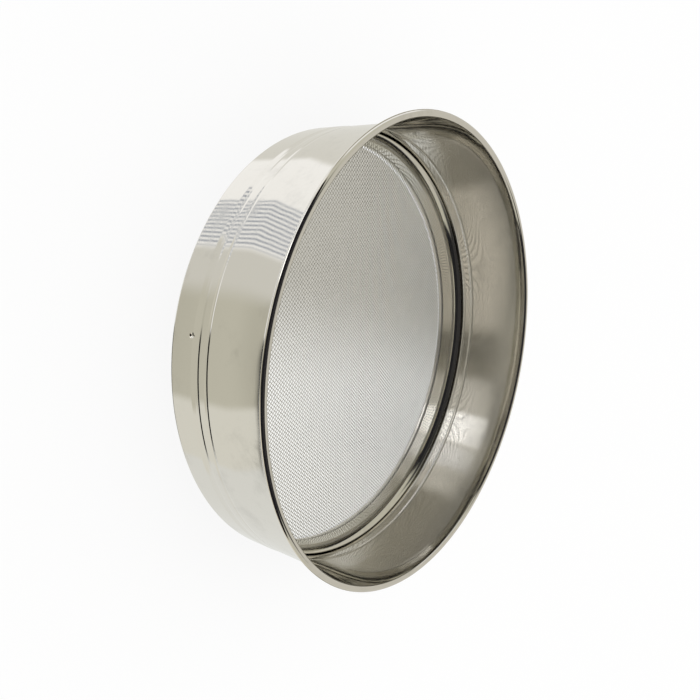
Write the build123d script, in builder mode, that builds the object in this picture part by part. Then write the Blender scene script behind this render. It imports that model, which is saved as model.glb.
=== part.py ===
from build123d import *
from math import acos, asin, degrees, sin
import os

# Drum sieve in polished stainless steel. Millimetres, +Z up.
# It lies on its hem with the rolled rim on top, and the origin is the centre of
# the circle that it stands on. Each sheet piece is drawn by its outside face.

# Drum, one spun sheet: the rim stands out past the wall, and the skirt a little
rim_diameter = 260.0
drum_height = 66.0
rim_overhang = 4.8
skirt_proud = 0.3
drum_sheet = 0.5

# Rolled rim and the wire inside it
wire_diameter = 2.1
wire_clearance = 0.3
rim_roll_turn = 270.0

# Skirt, and the step where it narrows to the wall
skirt_height = 16.4
step_length = 1.2

# Two grooves pressed into the wall from outside, above the step
groove_land = 0.4
groove_depth = 0.3
groove_width = 2.4
groove_spacing = 6.0

# Straight wall between the upper groove and the foot of the flare
flare_land = 11.6

# Hem folded in under the cloth, with its free edge short of the skirt
hem_height = 3.0
hem_corner = 1.5
hem_edge_gap = 0.2

# Cloth, as thick as two crossed wires, drawn as a net of square gaps
cloth_thickness = 0.8
cloth_edge_gap = 0.4
cloth_turn = 60.0
net_bar = 2.2
gaps_across = 13

# Ring that presses the cloth on the hem, one strip with a round shoulder inside that
# is folded down again beside the skirt
ring_sheet = 0.5
ring_width = 4.25
ring_top = 17.2
ring_shoulder = 8.0
ring_fold = 0.8

# Stakes punched into the skirt to grip the ring
stake_count = 3
stake_height = 14.0
stake_radius = 1.3
stake_tip = 0.3
stake_depth = 0.7
stake_clearance = 0.05
punch_overrun = 1.0

quarter_turn = 90.0
half_turn = 180.0

# Radii and heights that more than one piece follows
wall_outside = rim_diameter / 2 - rim_overhang
skirt_outside = wall_outside + skirt_proud
skirt_inside = skirt_outside - drum_sheet
cloth_top = hem_height + cloth_thickness
step_top = skirt_height + step_length
lower_groove = step_top + groove_land + groove_width / 2
upper_groove = lower_groove + groove_spacing

# The ring reaches out to the stakes. Its shoulder turns until the fold, carrying on
# from it, ends upright at the outside.
ring_outside = skirt_inside - stake_depth - stake_clearance
ring_inside = ring_outside - ring_width
shoulder_reach = ring_shoulder + ring_fold - ring_width
shoulder_turn = acos(shoulder_reach / (ring_shoulder - ring_fold))
shoulder_rise = (ring_shoulder - ring_fold) * sin(shoulder_turn)
fold_height = ring_top - ring_fold

# The rim rolls outwards round the wire. The flare is the one arc that leaves the
# wall upright at its foot and runs into the roll without a kink.
rim_roll = wire_diameter / 2 + wire_clearance
rim_roll_centre = rim_diameter / 2 - drum_sheet - rim_roll
rim_roll_height = drum_height - drum_sheet - rim_roll
flare_foot = upper_groove + groove_width / 2 + flare_land
flare_rise = rim_roll_height - flare_foot
flare_reach = rim_roll_centre - wall_outside
flare_radius = (flare_reach**2 + flare_rise**2 - rim_roll**2) / (flare_reach - rim_roll) / 2
flare_angle = degrees(asin(flare_rise / (flare_radius - rim_roll)))

# A stake's bump and its punch mark are one cone, set a sheet apart
stake_slope = (stake_radius - stake_tip) / stake_depth
bump_height = stake_depth + drum_sheet / 2
punch_height = stake_depth + punch_overrun
from_tip = (Align.CENTER, Align.CENTER, Align.MIN)
tip_inwards = (0, quarter_turn, 0)

with BuildPart() as drum_shell:
    with BuildSketch(Plane.XZ):
        with BuildLine():
            hem = Polyline(
                (skirt_inside - drum_sheet - hem_edge_gap, hem_height),
                (ring_inside, hem_height),
                (ring_inside, 0),
                (skirt_outside - hem_corner, 0),
            )
            corner = JernArc(hem @ 1, hem % 1, hem_corner, quarter_turn)
            wall = Polyline(
                corner @ 1,
                (skirt_outside, skirt_height),
                (wall_outside, step_top),
                (wall_outside, lower_groove - groove_width / 2),
                (wall_outside - groove_depth, lower_groove),
                (wall_outside, lower_groove + groove_width / 2),
                (wall_outside, upper_groove - groove_width / 2),
                (wall_outside - groove_depth, upper_groove),
                (wall_outside, upper_groove + groove_width / 2),
                (wall_outside, flare_foot),
            )
            flare = JernArc(wall @ 1, wall % 1, flare_radius, -flare_angle)
            JernArc(flare @ 1, flare % 1, rim_roll, -rim_roll_turn)
            offset(amount=drum_sheet, side=Side.LEFT)
        make_face()
    revolve(axis=Axis.Z)
    with Locations((0, 0, stake_height)):
        with PolarLocations(skirt_inside - stake_depth, stake_count):
            Cone(
                stake_tip,
                stake_tip + stake_slope * bump_height,
                bump_height,
                rotation=tip_inwards,
                align=from_tip,
            )
        with PolarLocations(skirt_outside - stake_depth, stake_count):
            Cone(
                stake_tip,
                stake_tip + stake_slope * punch_height,
                punch_height,
                rotation=tip_inwards,
                align=from_tip,
                mode=Mode.SUBTRACT,
            )
drum_shell.part.label = "drum_shell"

with BuildPart() as rim_wire:
    with BuildSketch(Plane.XZ):
        with Locations((rim_roll_centre, rim_roll_height)):
            Circle(wire_diameter / 2)
    revolve(axis=Axis.Z)
rim_wire.part.label = "rim_wire"

# Gaps end at the edge of the open field, and one that hardly reaches in is left out
net_field = ring_inside - net_bar
net_pitch = 2 * ring_inside / gaps_across
net_gap = net_pitch - net_bar
net_reach = net_field + net_gap / 4
net_grid = GridLocations(net_pitch, net_pitch, gaps_across, gaps_across)
net_places = [place for place in net_grid if place.position.length < net_reach]
with BuildPart() as mesh_cloth:
    with BuildSketch(Plane.XY.offset(hem_height)):
        Circle(skirt_inside - cloth_edge_gap)
    extrude(amount=cloth_thickness)
    with BuildSketch(Plane.XY.offset(hem_height).rotated((0, 0, cloth_turn))):
        with Locations(net_places):
            Rectangle(net_gap, net_gap)
        Circle(net_field, mode=Mode.INTERSECT)
    extrude(amount=cloth_thickness, mode=Mode.SUBTRACT)
mesh_cloth.part.label = "mesh_cloth"

with BuildPart() as mesh_ring:
    with BuildSketch(Plane.XZ):
        with BuildLine():
            web = Line((ring_inside, cloth_top), (ring_inside, fold_height - shoulder_rise))
            shoulder = JernArc(web @ 1, web % 1, ring_shoulder, -degrees(shoulder_turn))
            fold = JernArc(shoulder @ 1, shoulder % 1, ring_fold, degrees(shoulder_turn) - half_turn)
            Line(fold @ 1, (ring_outside, cloth_top))
            offset(amount=ring_sheet, side=Side.RIGHT)
        make_face()
    revolve(axis=Axis.Z)
mesh_ring.part.label = "mesh_ring"

os.makedirs("parts", exist_ok=True)
export_step(drum_shell.part, "parts/drum_shell.step")
export_step(rim_wire.part, "parts/rim_wire.step")
export_step(mesh_cloth.part, "parts/mesh_cloth.step")
export_step(mesh_ring.part, "parts/mesh_ring.step")
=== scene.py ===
from math import acos, asin, atan2, ceil, cos, degrees, hypot, pi, radians, sin, tan

import bpy
from mathutils import Euler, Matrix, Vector


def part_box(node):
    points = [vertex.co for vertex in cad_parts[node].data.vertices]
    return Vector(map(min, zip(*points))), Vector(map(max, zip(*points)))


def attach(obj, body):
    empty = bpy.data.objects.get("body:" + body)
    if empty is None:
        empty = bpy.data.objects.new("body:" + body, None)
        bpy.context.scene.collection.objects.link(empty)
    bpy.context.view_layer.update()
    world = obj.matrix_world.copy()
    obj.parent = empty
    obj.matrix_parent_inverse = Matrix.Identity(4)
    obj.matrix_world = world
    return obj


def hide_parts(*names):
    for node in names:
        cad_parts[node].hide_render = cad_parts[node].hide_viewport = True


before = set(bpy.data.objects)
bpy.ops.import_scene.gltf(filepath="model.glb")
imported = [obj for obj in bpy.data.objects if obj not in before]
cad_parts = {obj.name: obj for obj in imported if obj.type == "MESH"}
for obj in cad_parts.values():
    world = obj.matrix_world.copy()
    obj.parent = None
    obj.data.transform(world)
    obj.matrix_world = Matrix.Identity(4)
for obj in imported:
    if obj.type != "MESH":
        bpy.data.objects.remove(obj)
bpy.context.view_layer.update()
scene = bpy.context.scene

# The view of the photo. The sieve lies on its hem here, and the photo shows it on its
# side, so the camera looks down into the bowl and is rolled to put the axis level.
mm = 0.001
photo_width_px = 700.0
focal_length_px = 652.0
axis_point_px = (341.8, 418.6)
camera_place = Vector((318.6, -12.6, 248.6)) * mm
camera_azimuth = radians(-9.524)
camera_elevation = radians(36.322)
camera_roll = radians(104.385)
sensor_width_mm = 36.0
nearest_seen = 1 * mm

camera_data = bpy.data.cameras.new("photo_camera")
camera = bpy.data.objects.new("photo_camera", camera_data)
scene.collection.objects.link(camera)
scene.camera = camera
camera_data.sensor_width = sensor_width_mm
camera_data.lens = sensor_width_mm * focal_length_px / photo_width_px
camera_data.shift_x = 0.5 - axis_point_px[0] / photo_width_px
camera_data.shift_y = axis_point_px[1] / photo_width_px - 0.5
camera_data.clip_start = nearest_seen
backwards = Vector((
    cos(camera_azimuth) * cos(camera_elevation),
    sin(camera_azimuth) * cos(camera_elevation),
    sin(camera_elevation),
))
camera.rotation_mode = "QUATERNION"
camera.rotation_quaternion = backwards.to_track_quat("Z", "Y") @ Euler((0, 0, camera_roll)).to_quaternion()
camera.location = camera_place

# The studio: an even white light for matt surfaces and the shadow. The polished steel
# mirrors a plain room instead: pale walls, a bright window with a blind, and a dark side
# where the camera stands. The camera itself sees the room and the floor white.
room_white = "#FFFFFF"
room_light = 1.0
table_tone = "#CDCBBE"

# Each panel of the room: middle and half width in degrees round the sieve, foot, top and
# soft edge in degrees above the horizon, colour and strength. Where panels overlap, the
# later one covers the earlier.
panels = {
    "ceiling": (0, 181, 60, 91, 24, "#BDBAB2", 1.0),
    "far_wall": (170, 65, -30, 70, 20, "#D2CFC6", 1.0),
    "near_ceiling": (20, 112, 38, 91, 12, "#343334", 1.0),
    "table_near": (8, 34, -90, -51, 7, "#C3C1B4", 1.0),
    "right_wall": (58, 19, -90, -31, 6, "#E6E5DD", 1.0),
    "right_back_wall": (116, 42, -90, -31, 4, "#E8E9E6", 1.0),
    "left_back_wall": (-135, 30, -90, -31, 8, "#E4E3DD", 1.0),
    "window_side": (-38, 16, -90, -31, 14, "#DDDCD6", 1.0),
    "window": (-76, 30, -90, -31, 5, "#FFFFFF", 1.08),
    "low_room": (0, 181, -31, -16, 3, "#96907F", 1.0),
    "low_light_side": (68, 44, -31, -16, 12, "#F4ECDC", 1.0),
    "low_glow": (-41, 36, -31, -16, 10, "#F4F0E6", 1.2),
    "low_shine": (-53, 7, -31, -16, 6, "#FFFFFF", 1.6),
    "low_bright": (-35, 9, -31, -16, 4, "#FFFFFF", 2.4),
    "low_smudge": (13, 7, -31, -16, 5, "#6E685A", 1.0),
    "window_high": (-105, 22, -10, 14, 8, "#FFFFFF", 1.0),
    "under_sky": (-24, 26, -90, -62, 5, "#FFFFFF", 1.0),
    "dark_side": (8, 78, -16, 42, 4, "#1F1F22", 1.0),
}

# The blind: slats a few degrees apart in a panel of their own. A sine runs across them,
# and a slat starts at one height of the sine and is full at the other.
slat_panel = (-61, 14, -90, -31, 3)
slat_colour = "#5E6E88"
slat_pitch = 2.5
slat_start = -0.4
slat_full = 0.8
slat_share = 0.8

# The dark place under the table's edge, beside the camera. Its top rises with the square
# of the angle round the sieve, as the flare that mirrors it turns away.
under_table_colour = "#17171A"
under_table_middle = 40
under_table_half_width = 38
under_table_side_edge = 14
under_table_top = -55.6
under_table_edge = 1.2
under_table_start = -2
under_table_rise = 0.062

# A Mix node's places for its two colours, and for the colour that it gives.
one_colour = 6
other_colour = 7
mixed_colour = 2


def linear(hex_colour):
    """An sRGB hex colour as linear red, green, blue and alpha."""
    channels = [int(hex_colour[i:i + 2], 16) / 255 for i in (1, 3, 5)]
    return [c / 12.92 if c <= 0.04045 else ((c + 0.055) / 1.055) ** 2.4 for c in channels] + [1]


def times(colour, share):
    """A linear colour with its red, green and blue multiplied."""
    return [c * share for c in colour[:3]] + [1]


def add(tree, kind, inputs=None, **settings):
    """Adds one node. An input takes a value, or the output socket that feeds it."""
    node = tree.nodes.new(kind)
    for name, value in settings.items():
        setattr(node, name, value)
    for name, value in (inputs or {}).items():
        if isinstance(value, bpy.types.NodeSocket):
            tree.links.new(value, node.inputs[name])
        else:
            node.inputs[name].default_value = value
    return node


world = bpy.data.worlds.new("studio")
scene.world = world
world.use_nodes = True
room = world.node_tree
room.nodes.clear()
direction = add(room, "ShaderNodeTexCoord").outputs["Generated"]
rays = add(room, "ShaderNodeLightPath").outputs
axes = add(room, "ShaderNodeSeparateXYZ", {"Vector": direction}).outputs
elevation = add(room, "ShaderNodeMath", {0: axes["Z"]}, operation="ARCSINE").outputs[0]
azimuth = add(room, "ShaderNodeMath", {0: axes["Y"], 1: axes["X"]}, operation="ARCTAN2").outputs[0]
level = add(room, "ShaderNodeVectorMath", {0: direction, 1: (1, 1, 0)}, operation="MULTIPLY").outputs[0]
level = add(room, "ShaderNodeVectorMath", {0: level}, operation="NORMALIZE").outputs[0]


def soft_step(value, start, end, low, high):
    """A smooth change from low to high as the value goes from start to end."""
    return add(room, "ShaderNodeMapRange", {
        "Value": value, "From Min": start, "From Max": end, "To Min": low, "To Max": high,
    }, interpolation_type="SMOOTHSTEP").outputs["Result"]


def on_side(middle, half_width, edge):
    """1 on one side of the room, round a middle heading, and 0 elsewhere. In degrees."""
    heading = (cos(radians(middle)), sin(radians(middle)), 0)
    along = add(room, "ShaderNodeVectorMath", {0: level, 1: heading}, operation="DOT_PRODUCT")
    away = add(room, "ShaderNodeMath", {0: along.outputs["Value"]}, operation="ARCCOSINE").outputs[0]
    return soft_step(away, radians(half_width - edge / 2), radians(half_width + edge / 2), 1, 0)


def inside(middle, half_width, foot, top, edge):
    """1 inside a panel of the room and 0 outside it. In degrees."""
    side = on_side(middle, half_width, edge)
    above = soft_step(elevation, radians(foot - edge / 2), radians(foot + edge / 2), 0, 1)
    below = soft_step(elevation, radians(top - edge / 2), radians(top + edge / 2), 1, 0)
    share = add(room, "ShaderNodeMath", {0: side, 1: above}, operation="MULTIPLY").outputs[0]
    return add(room, "ShaderNodeMath", {0: share, 1: below}, operation="MULTIPLY").outputs[0]


def painted(under, share, hex_colour, strength=1.0):
    """A tone with a share of another laid over it."""
    return add(room, "ShaderNodeMix", {
        "Factor": share, one_colour: under, other_colour: times(linear(hex_colour), strength),
    }, data_type="RGBA").outputs[mixed_colour]


tone = linear(table_tone)
for *place, colour, strength in panels.values():
    tone = painted(tone, inside(*place), colour, strength)

slat_turns = add(room, "ShaderNodeMath", {
    0: azimuth, 1: 2 * pi / radians(slat_pitch),
}, operation="MULTIPLY").outputs[0]
slat_wave = add(room, "ShaderNodeMath", {0: slat_turns}, operation="SINE").outputs[0]
slat_lines = soft_step(slat_wave, slat_start, slat_full, 0, slat_share)
slats = add(room, "ShaderNodeMath", {0: inside(*slat_panel), 1: slat_lines}, operation="MULTIPLY").outputs[0]
tone = painted(tone, slats, slat_colour)

under_turn = add(room, "ShaderNodeMath", {
    0: azimuth, 1: radians(under_table_start),
}, operation="SUBTRACT").outputs[0]
under_square = add(room, "ShaderNodeMath", {0: under_turn, 1: under_turn}, operation="MULTIPLY").outputs[0]
under_rise = add(room, "ShaderNodeMath", {
    0: under_square, 1: under_table_rise,
}, operation="MULTIPLY").outputs[0]
under_height = add(room, "ShaderNodeMath", {0: elevation, 1: under_rise}, operation="SUBTRACT").outputs[0]
half_edge = under_table_edge / 2
under_below = soft_step(
    under_height, radians(under_table_top - half_edge), radians(under_table_top + half_edge), 1, 0,
)
under_side = on_side(under_table_middle, under_table_half_width, under_table_side_edge)
under_table = add(room, "ShaderNodeMath", {0: under_side, 1: under_below}, operation="MULTIPLY").outputs[0]
tone = painted(tone, under_table, under_table_colour)

mirrored = add(room, "ShaderNodeBackground", {"Color": tone})
diffused = add(room, "ShaderNodeBackground", {"Color": linear(room_white), "Strength": room_light})
seen = add(room, "ShaderNodeBackground", {"Color": linear(room_white)})
lit = add(room, "ShaderNodeMixShader", {
    0: rays["Is Glossy Ray"], 1: diffused.outputs[0], 2: mirrored.outputs[0],
})
whole = add(room, "ShaderNodeMixShader", {0: rays["Is Camera Ray"], 1: lit.outputs[0], 2: seen.outputs[0]})
add(room, "ShaderNodeOutputWorld", {"Surface": whole.outputs[0]})
scene.view_settings.view_transform = "Standard"

# The floor: a matt white board that the sieve lies on, far wider than the view. It takes
# the sieve's soft shadow, and the polished steel doesn't mirror it.
floor_reach = 4000 * mm
floor_white = "#FBFBFA"
floor_glow = 0.85


def blank_material(name):
    """A material whose tree is still empty."""
    material = bpy.data.materials.new(name)
    material.use_nodes = True
    material.node_tree.nodes.clear()
    return material


def lay_board(name, outline, height, paint):
    """A flat board of the studio. It isn't part of the sieve, and the sieve doesn't mirror it."""
    board_mesh = bpy.data.meshes.new(name)
    board_mesh.from_pydata([(x, y, height) for x, y in outline], [], [range(len(outline))])
    board_mesh.materials.append(paint)
    laid = bpy.data.objects.new(name, board_mesh)
    scene.collection.objects.link(laid)
    laid.visible_glossy = False


# Matt white board: to the camera most of its tone is plain white, and the rest is the
# light that falls on it, so the sieve's shadow shows on it faintly.
floor_paint = blank_material("matt_white_board")
board = floor_paint.node_tree
board_ray = add(board, "ShaderNodeLightPath").outputs["Is Camera Ray"]
board_share = add(board, "ShaderNodeMath", {0: board_ray, 1: floor_glow}, operation="MULTIPLY").outputs[0]
board_matt = add(board, "ShaderNodeBsdfDiffuse", {"Color": linear(floor_white)}).outputs[0]
board_glow = add(board, "ShaderNodeEmission", {"Color": linear(room_white)}).outputs[0]
board_mix = add(board, "ShaderNodeMixShader", {0: board_share, 1: board_matt, 2: board_glow}).outputs[0]
add(board, "ShaderNodeOutputMaterial", {"Surface": board_mix})
corner_shares = ((-1, -1), (1, -1), (1, 1), (-1, 1))
lay_board("floor", [(floor_reach * x, floor_reach * y) for x, y in corner_shares], 0, floor_paint)

# The board under the cloth has painted shade for the sieve's shade, darker on the window's
# side, where the drum's wall keeps the light off. It gives the tone that shows between
# the wires.
painted_shade_tone = "#D8D0BC"
painted_shade_seen = "#C4C1B8"
painted_light_seen = "#FFFFFC"
shade_end = -45 * mm
light_end = 30 * mm
shade_radius = 119.0 * mm
shade_lift = 0.05 * mm
shade_sides = 96

# Board with painted shade: to the camera it glows in a painted grey that turns to white
# across the sieve, and to the light that bounces off it, it is a matt tone darkened as
# painted shade.
shade_paint = blank_material("board_with_painted_shade")
shade = shade_paint.node_tree
shade_ray = add(shade, "ShaderNodeLightPath").outputs["Is Camera Ray"]
shade_place = add(shade, "ShaderNodeTexCoord").outputs["Object"]
shade_axes = add(shade, "ShaderNodeSeparateXYZ", {"Vector": shade_place}).outputs
light_share = add(shade, "ShaderNodeMapRange", {
    "Value": shade_axes["Y"], "From Min": shade_end, "From Max": light_end,
}, interpolation_type="SMOOTHSTEP").outputs["Result"]
shade_colour = add(shade, "ShaderNodeMix", {
    "Factor": light_share, one_colour: linear(painted_shade_seen), other_colour: linear(painted_light_seen),
}, data_type="RGBA").outputs[mixed_colour]
shade_matt = add(shade, "ShaderNodeBsdfDiffuse", {"Color": linear(painted_shade_tone)}).outputs[0]
# The camera sees a painted glow here, grey to white: painted shade, not lamp light.
shade_glow = add(shade, "ShaderNodeEmission", {"Color": shade_colour}).outputs[0]
shade_mix = add(shade, "ShaderNodeMixShader", {0: shade_ray, 1: shade_matt, 2: shade_glow}).outputs[0]
add(shade, "ShaderNodeOutputMaterial", {"Surface": shade_mix})
shade_turns = [2 * pi * i / shade_sides for i in range(shade_sides)]
shade_outline = [(shade_radius * cos(turn), shade_radius * sin(turn)) for turn in shade_turns]
lay_board("floor_under_cloth", shade_outline, shade_lift, shade_paint)

# The drum: one sheet of stainless steel, spun to a drum and polished to a mirror. It has
# a hem folded in below, a skirt, two pressed grooves, a flare and a rim rolled over wire.
# Three stakes punched into the skirt grip the ring inside it.
drum_sheet = 0.5 * mm
half_sheet = drum_sheet / 2
drum_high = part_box("drum_shell")[1]
ring_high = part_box("mesh_ring")[1]
cloth_low, cloth_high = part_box("mesh_cloth")
wire_low, wire_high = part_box("rim_wire")
ring_width = 4.25 * mm
hem_corner = 1.5 * mm
hem_fold = 0.6 * mm
hem_edge_gap = 0.2 * mm
cloth_edge_gap = 0.4 * mm
skirt_proud = 0.3 * mm
skirt_height = 16.4 * mm
stake_count = 3
stake_height = 14.0 * mm
stake_radius = 1.8 * mm
stake_depth = 0.5 * mm
step_length = 1.2 * mm
step_bend = 4.0 * mm
step_ease = 1.2 * mm
groove_land = 0.4 * mm
groove_depths = (0.1 * mm, 0.17 * mm)
groove_width = 2.4 * mm
groove_spacing = 6.0 * mm
groove_shoulder = 3.0 * mm
groove_bend = 4.0 * mm
flare_land = 11.6 * mm
rim_roll_turn = 270.0

# How finely a bent sheet is divided: the longest straight piece, the largest turn in
# degrees of one step of a bend, and the steps round a cut edge.
longest_run = 3 * mm
bend_step = 9.0
flare_step = 0.5
roll_step = 8.0
edge_steps = 6
around_count = 200

# At a stake the points are closer, along and up. The punch moves only upright faces,
# whose normal is at least this level.
stake_step = radians(0.08)
stake_steps = 11
stake_rows = 8
upright_share = 0.99

ring_inside = ring_high.x - ring_width
skirt_outside = cloth_high.x + cloth_edge_gap + drum_sheet
skirt_line = skirt_outside - half_sheet
wall_outside = skirt_outside - skirt_proud
wall_line = wall_outside - half_sheet
hem_inside_line = ring_inside + half_sheet
hem_top_line = cloth_low.z - half_sheet
step_top = skirt_height + step_length
lower_groove = step_top + groove_land + groove_width / 2
upper_groove = lower_groove + groove_spacing
flare_foot = upper_groove + groove_width / 2 + flare_land


def line_through(corners):
    """Points (radius, height, heading) along a bent line. A corner is (radius, height, bend radius)."""
    bends = []
    for i in range(1, len(corners) - 1):
        before, here, after = (Vector(corners[j][:2]) for j in (i - 1, i, i + 1))
        way_in, way_out = (here - before).normalized(), (after - here).normalized()
        turn = atan2(way_in.x * way_out.y - way_in.y * way_out.x, way_in.dot(way_out))
        bends.append((here, way_in, turn, corners[i][2]))
    start = Vector(corners[0][:2])
    points = []
    for here, way_in, turn, radius in bends:
        run(points, start, here - way_in * radius * abs(tan(turn / 2)))
        bend(points, radius, degrees(turn))
        start = Vector(points[-1][:2])
    run(points, start, Vector(corners[-1][:2]))
    return points


def run(points, start, end, most=longest_run):
    """Adds a straight run, cut into lengths of at most the given size."""
    heading = atan2(end.y - start.y, end.x - start.x)
    pieces = max(1, ceil((end - start).length / most))
    for i in range(1 if points else 0, pieces + 1):
        points.append((*start.lerp(end, i / pieces), heading))


def bend(points, radius, turn, most=bend_step):
    """Adds an arc that carries on from the last point. A positive turn goes to the left."""
    r, z, heading = points[-1]
    side = 1 if turn > 0 else -1
    centre = Vector((r - side * radius * sin(heading), z + side * radius * cos(heading)))
    steps = max(2, ceil(abs(turn) / most))
    for i in range(1, steps + 1):
        now = heading + radians(turn) * i / steps
        points.append((centre.x + side * radius * sin(now), centre.y - side * radius * cos(now), now))


def sheet_section(line):
    """The closed outline of a sheet whose middle follows a line, as (point, normal) pairs. It
    goes along one face, round the edge there, back along the other face and round again."""
    outline = []
    for path, turn in ((line, 0), (line[::-1], pi)):
        for r, z, heading in path:
            out = Vector((sin(heading + turn), -cos(heading + turn)))
            outline.append((Vector((r, z)) + out * half_sheet, out))
        r, z, heading = path[-1]
        for i in range(1, edge_steps):
            angle = heading + turn - pi / 2 + pi * i / edge_steps
            out = Vector((cos(angle), sin(angle)))
            outline.append((Vector((r, z)) + out * half_sheet, out))
    return outline


def spun(name, outline, angles, press=None):
    """Turns an outline round the axis into a closed mesh with exact normals. A press says how
    far an upright face is pushed in at an angle and a height, and its slopes along and up."""
    up = Vector((0, 0, 1))
    points, normals = [], []
    for angle in angles:
        across = Vector((cos(angle), sin(angle), 0))
        along = Vector((-sin(angle), cos(angle), 0))
        for place, out in outline:
            sink, slope_along, slope_up = 0, 0, 0
            if press and abs(out.x) > upright_share:
                sink, slope_along, slope_up = press(angle, place.y)
            points.append(across * (place.x - sink) + up * place.y)
            facing = 1 if out.x > 0 else -1
            tilt = (along * slope_along + up * slope_up) * facing
            normals.append((across * out.x + up * out.y + tilt).normalized())
    faces = []
    for k in range(len(angles)):
        here, there = k * len(outline), (k + 1) % len(angles) * len(outline)
        for i in range(len(outline)):
            j = (i + 1) % len(outline)
            faces.append((here + i, there + i, there + j, here + j))
    mesh = bpy.data.meshes.new(name)
    mesh.from_pydata(points, [], faces)
    mesh.polygons.foreach_set("use_smooth", [True] * len(faces))
    mesh.normals_split_custom_set_from_vertices(normals)
    piece = bpy.data.objects.new(name, mesh)
    scene.collection.objects.link(piece)
    return piece


stakes = [2 * pi * i / stake_count for i in range(stake_count)]


def turn_from(stake, angle):
    """The turn round the axis from a stake to an angle, the short way."""
    return (angle - stake + pi) % (2 * pi) - pi


def pressed(angle, height):
    """How far the nearest stake presses the skirt in, and the slopes along and up."""
    for stake in stakes:
        along, up = turn_from(stake, angle) * skirt_line, height - stake_height
        away = hypot(along, up)
        if away == 0:
            return stake_depth, 0, 0
        if away < stake_radius:
            wave = pi * away / stake_radius
            slope = -stake_depth / 2 * pi / stake_radius * sin(wave)
            return stake_depth / 2 * (1 + cos(wave)), slope * along / away, slope * up / away
    return 0, 0, 0


even_angles = [2 * pi * i / around_count for i in range(around_count)]
stake_reach = stake_step * (stake_steps + 1)
drum_angles = [
    angle for angle in even_angles
    if all(abs(turn_from(stake, angle)) > stake_reach for stake in stakes)
]
for stake in stakes:
    drum_angles += [(stake + stake_step * i) % (2 * pi) for i in range(-stake_steps, stake_steps + 1)]
drum_angles.sort()

hem_corners = [
    (skirt_outside - 2 * drum_sheet - hem_edge_gap, hem_top_line),
    (hem_inside_line, hem_top_line, hem_fold),
    (hem_inside_line, half_sheet, hem_fold),
    (skirt_line, half_sheet, hem_corner - half_sheet),
    (skirt_line, stake_height - stake_radius),
]
wall_corners = [
    (skirt_line, stake_height),
    (skirt_line, skirt_height - step_ease, step_bend),
    (wall_line, step_top, step_bend),
]
for height, groove_depth in zip((lower_groove, upper_groove), groove_depths):
    wall_corners += [
        (wall_line, height - groove_width / 2, groove_shoulder),
        (wall_line - groove_depth, height, groove_bend),
        (wall_line, height + groove_width / 2, groove_shoulder),
    ]
wall_corners.append((wall_line, flare_foot))

# The flare is the one arc that leaves the wall upright and runs into the roll smoothly.
rim_roll = drum_high.z - drum_sheet - (wire_low.z + wire_high.z) / 2
rim_centre = Vector((drum_high.x - drum_sheet - rim_roll, drum_high.z - drum_sheet - rim_roll))
flare_reach = rim_centre.x - wall_outside
flare_rise = rim_centre.y - flare_foot
flare_radius = (flare_reach ** 2 + flare_rise ** 2 - rim_roll ** 2) / (flare_reach - rim_roll) / 2
flare_turn = degrees(asin(flare_rise / (flare_radius - rim_roll)))

drum_line = line_through(hem_corners)
run(drum_line, Vector(drum_line[-1][:2]), Vector((skirt_line, stake_height)), stake_radius / stake_rows)
drum_line += line_through(wall_corners)[1:]
bend(drum_line, flare_radius + half_sheet, -flare_turn, flare_step)
bend(drum_line, rim_roll + half_sheet, -rim_roll_turn, roll_step)
drum = spun("drum", sheet_section(drum_line), drum_angles, pressed)

# What the buff leaves on the steel. Real hairlines are too fine to show in the render, so
# these are drawn far coarser and very shallow.
wave_length = 26 * mm
wave_height = 0.08 * mm
wave_detail = 1.5
hairline_pitch = 0.9 * mm
hairline_height = 0.0012 * mm
hairline_breaks = 5.0
hairline_detail = 3.0
hairline_mix = 0.6
hairline_dullness = 0.06
smudge_width = 22 * mm
smudge_detail = 4.0
smudge_mix = 0.65
smudge_start = 0.5
smudge_full = 0.75
smudge_dullness = 0.07
smudge_shade = 0.9


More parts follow.
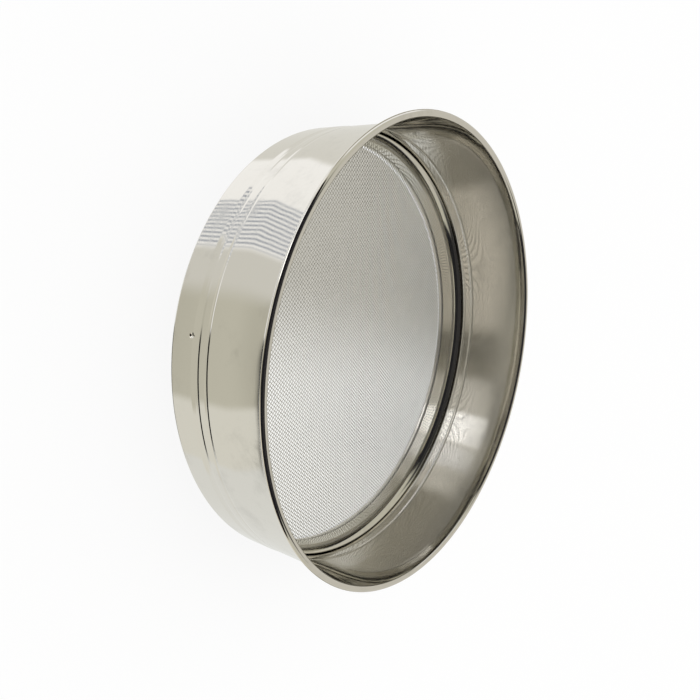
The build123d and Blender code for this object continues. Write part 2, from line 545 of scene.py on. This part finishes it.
def polished_steel(name, colour, roughness):
    """Stainless steel polished on a buff while it turned: a mirror with a slight wave,
    hairlines that run round the axis, and dull smudges."""
    steel = blank_material(name)
    tree = steel.node_tree
    place = add(tree, "ShaderNodeTexCoord").outputs["Object"]
    axes = add(tree, "ShaderNodeSeparateXYZ", {"Vector": place}).outputs
    flat = add(tree, "ShaderNodeCombineXYZ", {"X": axes["X"], "Y": axes["Y"]}).outputs[0]
    radius = add(tree, "ShaderNodeVectorMath", {0: flat}, operation="LENGTH").outputs["Value"]
    heading = add(tree, "ShaderNodeVectorMath", {0: flat}, operation="NORMALIZE").outputs[0]
    across = add(tree, "ShaderNodeMath", {0: axes["Z"], 1: radius}, operation="ADD").outputs[0]
    lines_up = add(tree, "ShaderNodeMath", {
        0: across, 1: 1 / hairline_pitch,
    }, operation="MULTIPLY").outputs[0]
    lines_up = add(tree, "ShaderNodeCombineXYZ", {"Z": lines_up}).outputs[0]
    lines_round = add(tree, "ShaderNodeVectorMath", {
        0: heading, "Scale": hairline_breaks,
    }, operation="SCALE").outputs[0]
    lines = add(tree, "ShaderNodeVectorMath", {0: lines_up, 1: lines_round}, operation="ADD").outputs[0]
    hairlines = add(tree, "ShaderNodeTexNoise", {
        "Vector": lines, "Scale": 1.0, "Detail": hairline_detail, "Roughness": hairline_mix,
    }).outputs["Fac"]
    wave = add(tree, "ShaderNodeTexNoise", {
        "Vector": place, "Scale": 1 / wave_length, "Detail": wave_detail,
    }).outputs["Fac"]
    smudge = add(tree, "ShaderNodeTexNoise", {
        "Vector": place, "Scale": 1 / smudge_width, "Detail": smudge_detail, "Roughness": smudge_mix,
    }).outputs["Fac"]
    smudge = add(tree, "ShaderNodeMapRange", {
        "Value": smudge, "From Min": smudge_start, "From Max": smudge_full,
    }, interpolation_type="SMOOTHSTEP").outputs["Result"]
    waved = add(tree, "ShaderNodeBump", {"Height": wave, "Strength": 1.0, "Distance": wave_height})
    lined = add(tree, "ShaderNodeBump", {
        "Height": hairlines, "Strength": 1.0, "Distance": hairline_height, "Normal": waved.outputs[0],
    })
    dullness = add(tree, "ShaderNodeMath", {
        0: hairlines, 1: hairline_dullness, 2: roughness - hairline_dullness / 2,
    }, operation="MULTIPLY_ADD").outputs[0]
    dullness = add(tree, "ShaderNodeMath", {
        0: smudge, 1: smudge_dullness, 2: dullness,
    }, operation="MULTIPLY_ADD").outputs[0]
    tint = add(tree, "ShaderNodeMix", {
        "Factor": smudge, one_colour: linear(colour), other_colour: times(linear(colour), smudge_shade),
    }, data_type="RGBA").outputs[mixed_colour]
    surface = add(tree, "ShaderNodeBsdfPrincipled", {
        "Base Color": tint, "Metallic": 1.0, "Roughness": dullness, "Normal": lined.outputs[0],
    })
    add(tree, "ShaderNodeOutputMaterial", {"Surface": surface.outputs[0]})
    return steel


# The drum's steel mirrors the room sharply, in bands that bend with the flare and the
# grooves.
drum_colour = "#E4E1DA"
drum_roughness = 0.06
drum_steel = polished_steel("mirror_polished_stainless_steel", drum_colour, drum_roughness)
drum.data.materials.append(drum_steel)
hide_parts("drum_shell")
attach(drum, "root")

# The wire inside the rolled rim: one ring of drawn steel wire, left dull from the die.
# The rim is rolled round it, which stiffens the edge and shuts the wire in.
rim_wire_colour = "#B8B8B6"
rim_wire_roughness = 0.35

# Real draw marks are too fine to show in the render, so they are drawn coarser, as small
# spots that are a little duller. The patches are where the wire's tone changes.
mark_width = 1.5 * mm
mark_dullness = 0.08
patch_width = 9 * mm
patch_dullness = 0.12
patch_shade = 0.86
wire_detail = 2.0


def drawn_wire(name, colour, roughness):
    """Steel wire pulled through a die: satin, with faint draw marks, and a tone that
    changes a little along the wire."""
    steel = blank_material(name)
    tree = steel.node_tree
    place = add(tree, "ShaderNodeTexCoord").outputs["Object"]
    marks = add(tree, "ShaderNodeTexNoise", {
        "Vector": place, "Scale": 1 / mark_width, "Detail": wire_detail,
    }).outputs["Fac"]
    patches = add(tree, "ShaderNodeTexNoise", {
        "Vector": place, "Scale": 1 / patch_width, "Detail": wire_detail,
    }).outputs["Fac"]
    tint = add(tree, "ShaderNodeMix", {
        "Factor": patches, one_colour: linear(colour), other_colour: times(linear(colour), patch_shade),
    }, data_type="RGBA").outputs[mixed_colour]
    dullness = add(tree, "ShaderNodeMath", {
        0: patches, 1: patch_dullness, 2: roughness - (patch_dullness + mark_dullness) / 2,
    }, operation="MULTIPLY_ADD").outputs[0]
    dullness = add(tree, "ShaderNodeMath", {
        0: marks, 1: mark_dullness, 2: dullness,
    }, operation="MULTIPLY_ADD").outputs[0]
    surface = add(tree, "ShaderNodeBsdfPrincipled", {
        "Base Color": tint, "Metallic": 1.0, "Roughness": dullness,
    })
    add(tree, "ShaderNodeOutputMaterial", {"Surface": surface.outputs[0]})
    return steel


# The rim's wire is a grey satin, darker than the polished sheet that is rolled round it.
drawn_steel = drawn_wire("drawn_steel_wire", rim_wire_colour, rim_wire_roughness)
rim_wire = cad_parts["rim_wire"]
rim_wire.data.materials.clear()
rim_wire.data.materials.append(drawn_steel)

# The ring: one strip of polished stainless steel folded over at the top. It stands on
# the border of the cloth and is held down by the three stakes pressed into the skirt.
ring_shoulder = 8.0 * mm
ring_fold = 0.8 * mm
shoulder_step = 3.0
fold_step = 15.0
half_turn = 180.0
cloth_top = cloth_high.z

leg_foot = cloth_top + half_sheet
fold_height = ring_high.z - ring_fold
shoulder_turn = acos((ring_shoulder + ring_fold - ring_width) / (ring_shoulder - ring_fold))
web_top = fold_height - (ring_shoulder - ring_fold) * sin(shoulder_turn)
ring_line = []
run(ring_line, Vector((hem_inside_line, leg_foot)), Vector((hem_inside_line, web_top)))
bend(ring_line, ring_shoulder - half_sheet, -degrees(shoulder_turn), shoulder_step)
bend(ring_line, ring_fold - half_sheet, degrees(shoulder_turn) - half_turn, fold_step)
run(ring_line, Vector(ring_line[-1][:2]), Vector((ring_high.x - half_sheet, leg_foot)))
ring = spun("ring", sheet_section(ring_line), even_angles)

# The ring's steel is buffed less than the drum's: a little darker, with softer mirrors.
ring_colour = "#DEDBD2"
ring_roughness = 0.1
ring_steel = polished_steel("polished_stainless_steel_strip", ring_colour, ring_roughness)
ring.data.materials.append(ring_steel)
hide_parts("mesh_ring")
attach(ring, "root")

# The cloth: stainless wire in plain weave with square meshes, each wire crimped over and
# under the wires that it crosses. Its border lies between the hem and the ring.
# The photo doesn't settle the pitch. It is chosen to look as fine as there.
cloth_pitch = 1.75 * mm
cloth_wire = (cloth_high.z - cloth_low.z) / 2
cloth_turn = radians(60)
cloth_grip = 1.2 * mm
cloth_reach = (ring_inside + ring_high.x) / 2 + cloth_grip
cloth_middle = (cloth_high.z + cloth_low.z) / 2
cloth_wires = 2 * (int(cloth_reach / cloth_pitch) + 1)
wire_sides = 6
cloth_colour = "#EAE9E4"
cloth_roughness = 0.36

weave = bpy.data.node_groups.new("crimped_wires", "GeometryNodeTree")
weave_inputs = {
    "Pitch": "NodeSocketFloat",
    "Wire Diameter": "NodeSocketFloat",
    "Cloth Radius": "NodeSocketFloat",
    "Height": "NodeSocketFloat",
    "Turn": "NodeSocketFloat",
    "Wires": "NodeSocketInt",
    "Sides": "NodeSocketInt",
    "Wire Steel": "NodeSocketMaterial",
}
for label, kind in weave_inputs.items():
    weave.interface.new_socket(label, in_out="INPUT", socket_type=kind)
weave.interface.new_socket("Geometry", in_out="OUTPUT", socket_type="NodeSocketGeometry")
given = add(weave, "NodeGroupInput").outputs

# A row of straight wires, with a point where each crosses another, centred on the axis.
spaces_back = add(weave, "ShaderNodeMath", {0: 1, 1: given["Wires"]}, operation="SUBTRACT").outputs[0]
half_pitch = add(weave, "ShaderNodeMath", {0: given["Pitch"], 1: 0.5}, operation="MULTIPLY").outputs[0]
first = add(weave, "ShaderNodeMath", {0: spaces_back, 1: half_pitch}, operation="MULTIPLY").outputs[0]
crossings, rows = (
    add(weave, "GeometryNodeMeshLine", {
        "Count": given["Wires"],
        "Start Location": add(weave, "ShaderNodeCombineXYZ", {axis: first}).outputs[0],
        "Offset": add(weave, "ShaderNodeCombineXYZ", {axis: given["Pitch"]}).outputs[0],
    }, mode="OFFSET", count_mode="TOTAL").outputs[0]
    for axis in ("X", "Y")
)
one_wire = add(weave, "GeometryNodeMeshToCurve", {"Mesh": crossings}).outputs[0]
wires = add(weave, "GeometryNodeInstanceOnPoints", {"Points": rows, "Instance": one_wire}).outputs[0]
wires = add(weave, "GeometryNodeRealizeInstances", {"Geometry": wires}).outputs[0]

# The wires are cut to the disc, and each goes over one crossing and under the next.
place = add(weave, "GeometryNodeInputPosition").outputs[0]
from_centre = add(weave, "ShaderNodeVectorMath", {0: place}, operation="LENGTH").outputs["Value"]
outside = add(weave, "FunctionNodeCompare", {
    "A": from_centre, "B": given["Cloth Radius"],
}, operation="GREATER_THAN").outputs[0]
trimmed = add(weave, "GeometryNodeDeleteGeometry", {
    "Geometry": wires, "Selection": outside,
}, domain="POINT").outputs[0]
across = add(weave, "ShaderNodeSeparateXYZ", {"Vector": place}).outputs
both_ways = add(weave, "ShaderNodeMath", {0: across["X"], 1: across["Y"]}, operation="ADD").outputs[0]
crossing = add(weave, "ShaderNodeMath", {0: both_ways, 1: given["Pitch"]}, operation="DIVIDE").outputs[0]
crimp_turn = add(weave, "ShaderNodeMath", {0: crossing, 1: pi}, operation="MULTIPLY").outputs[0]
over_under = add(weave, "ShaderNodeMath", {0: crimp_turn}, operation="COSINE").outputs[0]
wire_radius = add(weave, "ShaderNodeMath", {
    0: given["Wire Diameter"], 1: 0.5,
}, operation="MULTIPLY").outputs[0]
lift = add(weave, "ShaderNodeMath", {
    0: over_under, 1: wire_radius, 2: given["Height"],
}, operation="MULTIPLY_ADD").outputs[0]
offset = add(weave, "ShaderNodeCombineXYZ", {"Z": lift}).outputs[0]
crimped = add(weave, "GeometryNodeSetPosition", {"Geometry": trimmed, "Offset": offset}).outputs[0]

# Each wire gets its round section, and the set is turned to where the photo shows it.
section = add(weave, "GeometryNodeCurvePrimitiveCircle", {
    "Resolution": given["Sides"], "Radius": wire_radius,
}).outputs[0]
solid = add(weave, "GeometryNodeCurveToMesh", {
    "Curve": crimped, "Profile Curve": section, "Fill Caps": True,
}).outputs[0]
rotation = add(weave, "ShaderNodeCombineXYZ", {"Z": given["Turn"]}).outputs[0]
turned = add(weave, "GeometryNodeTransform", {"Geometry": solid, "Rotation": rotation}).outputs[0]
smooth = add(weave, "GeometryNodeSetShadeSmooth", {"Geometry": turned}).outputs[0]
loose = add(weave, "GeometryNodeRealizeInstances", {"Geometry": smooth}).outputs[0]
finished = add(weave, "GeometryNodeSetMaterial", {
    "Geometry": loose, "Material": given["Wire Steel"],
}).outputs[0]
add(weave, "NodeGroupOutput", {"Geometry": finished})

# The cloth's wire is a pale satin that catches the light on top of each crimp.
cloth_steel = drawn_wire("drawn_stainless_wire", cloth_colour, cloth_roughness)
for name, turn in (("cloth_warp", cloth_turn), ("cloth_weft", cloth_turn + pi / 2)):
    piece = bpy.data.objects.new(name, bpy.data.meshes.new(name + "_start"))
    scene.collection.objects.link(piece)
    maker = piece.modifiers.new("crimped_wires", "NODES")
    maker.node_group = weave
    sizes = {
        "Pitch": cloth_pitch,
        "Wire Diameter": cloth_wire,
        "Cloth Radius": cloth_reach,
        "Height": cloth_middle,
        "Turn": turn,
        "Wires": cloth_wires,
        "Sides": wire_sides,
        "Wire Steel": cloth_steel,
    }
    for socket in weave.interface.items_tree:
        if socket.name in sizes:
            maker[socket.identifier] = sizes[socket.name]
    woven = piece.evaluated_get(bpy.context.evaluated_depsgraph_get())
    mesh = bpy.data.meshes.new_from_object(woven)
    piece.modifiers.clear()
    piece.data = mesh
    mesh.name = name
    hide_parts("mesh_cloth")
    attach(piece, "root")
